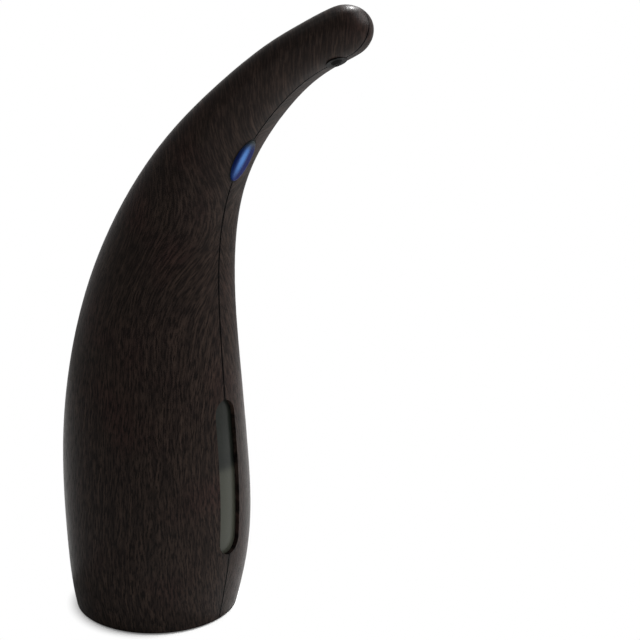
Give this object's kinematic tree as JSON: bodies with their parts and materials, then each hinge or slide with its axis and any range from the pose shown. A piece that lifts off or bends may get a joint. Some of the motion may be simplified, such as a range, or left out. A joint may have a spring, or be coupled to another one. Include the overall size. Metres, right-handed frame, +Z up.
{
  "type": "automatic soap dispenser",
  "caption": "Upright horn-shaped automatic soap dispenser leaning forward into a spout, with level window, sensor lens button, refill lid and battery base.",
  "frame": {"origin": "centre of the base, on the surface that the dispenser stands on", "axes": "+Z up, the spout points to -Y, x = 0 is the mid plane where the shells meet"},
  "size_m": [0.0924, 0.1658, 0.2757],
  "materials": {
    "wood_film": "satin dark wood grain film over ABS",
    "smoked_window": "smoked clear plastic",
    "blue_lens": "polished translucent blue plastic",
    "black_rubber": "matte",
    "black_plastic": "satin",
    "clear_silicone": "satin translucent",
    "natural_plastic": "satin",
    "white_acetal": "satin",
    "steel": "bright",
    "nickel": "bright",
    "magnet": "matte",
    "circuit_board": "satin",
    "battery_label": "gloss",
    "wire_black": "matte",
    "wire_red": "matte",
    "infrared_black": "gloss",
    "light_white": "gloss"
  },
  "bodies": {
    "housing": {"base_frame": "black_plastic", "base_screws": "steel", "battery_cells": "battery_label", "battery_contacts": "nickel", "battery_leads": "wire_red", "battery_springs": "nickel", "board_parts": "infrared_black", "board_screws": "steel", "button_switch": "infrared_black", "control_board": "circuit_board", "delivery_tube": "clear_silicone", "gear_axles": "steel", "gearbox_housing": "black_plastic", "gearbox_lid": "black_plastic", "gearbox_screws": "steel", "idle_axle": "steel", "infrared_emitter": "light_white", "infrared_receiver": "infrared_black", "left_shell": "wood_film", "lens_gasket": "black_rubber", "level_window": "smoked_window", "motor_can": "nickel", "motor_cap": "black_plastic", "motor_leads": "wire_red", "motor_magnets": "magnet", "nozzle_seat": "black_plastic", "nozzle_tip": "black_rubber", "outlet_elbow": "black_plastic", "outlet_strainer": "white_acetal", "pump_housing": "white_acetal", "pump_lid": "white_acetal", "pump_screws": "steel", "pump_seal": "black_rubber", "refill_hinge_pin": "steel", "refill_neck": "natural_plastic", "refill_seal": "black_rubber", "right_shell": "wood_film", "rubber_feet": "black_rubber", "sensor_board": "circuit_board", "sensor_bracket": "black_plastic", "sensor_cable": "wire_black", "soap_tank": "natural_plastic", "status_light": "light_white", "suction_tube": "clear_silicone"},
    "lens_button": {"sensor_lens": "blue_lens"},
    "switch_button": {"switch_plunger": "white_acetal"},
    "lid": {"refill_lid": "wood_film"},
    "battery_door": {"battery_cover": "black_plastic", "battery_cover_foot": "black_rubber", "battery_cover_gasket": "black_rubber"},
    "door_screw": {"battery_cover_screw": "nickel"},
    "motor_rotor": {"motor_armature": "steel", "motor_pinion": "white_acetal"},
    "first_gear": {"first_gear": "white_acetal"},
    "second_gear": {"second_gear": "white_acetal"},
    "pump_rotor": {"output_gear": "white_acetal", "pump_shaft": "steel", "pump_drive_rotor": "white_acetal"},
    "idle_rotor": {"pump_idle_rotor": "white_acetal"}
  },
  "joints": [
    {"name": "lens_press", "type": "slide", "parent": "housing", "child": "lens_button", "axis": [0, 0.8269, 0.5624], "range_m": [0, 0.0008], "stiffness_N_per_m": 1500},
    {"name": "switch_press", "type": "slide", "parent": "housing", "child": "switch_button", "axis": [0, 0.8269, 0.5624], "range_m": [0, 0.0008]},
    {"name": "refill_lid_hinge", "type": "hinge", "parent": "housing", "child": "lid", "pos_m": [0, 0.00198, 0.20853], "axis": [1, 0, 0], "range_deg": [0, 95]},
    {"name": "battery_cover_removal", "type": "slide", "parent": "housing", "child": "battery_door", "axis": [0, 0, -1], "range_m": [0, 0.03]},
    {"name": "cover_screw_turn", "type": "hinge", "parent": "battery_door", "child": "door_screw", "pos_m": [0, 0.0295, 0.0008], "axis": [0, 0, 1], "continuous": true},
    {"name": "motor_spin", "type": "hinge", "parent": "housing", "child": "motor_rotor", "pos_m": [-0.005, 0.025, 0.0235], "axis": [0, 0, 1], "continuous": true},
    {"name": "first_gear_spin", "type": "hinge", "parent": "housing", "child": "first_gear", "pos_m": [0.00072, 0.01445, 0.0235], "axis": [0, 0, 1], "continuous": true},
    {"name": "second_gear_spin", "type": "hinge", "parent": "housing", "child": "second_gear", "pos_m": [0.00229, 0.00255, 0.0235], "axis": [0, 0, 1], "continuous": true},
    {"name": "pump_spin", "type": "hinge", "parent": "housing", "child": "pump_rotor", "pos_m": [0.008, -0.008, 0.0235], "axis": [0, 0, 1], "continuous": true},
    {"name": "idle_rotor_spin", "type": "hinge", "parent": "housing", "child": "idle_rotor", "pos_m": [0.018, -0.008, 0.0321], "axis": [0, 0, 1], "continuous": true}
  ],
  "couplings": [
    {"joint": "switch_press", "follows": "lens_press", "ratio": 1},
    {"joint": "first_gear_spin", "follows": "motor_spin", "ratio": -0.33333},
    {"joint": "second_gear_spin", "follows": "motor_spin", "ratio": 0.11111},
    {"joint": "pump_spin", "follows": "motor_spin", "ratio": -0.037037},
    {"joint": "idle_rotor_spin", "follows": "motor_spin", "ratio": 0.037037}
  ]
}
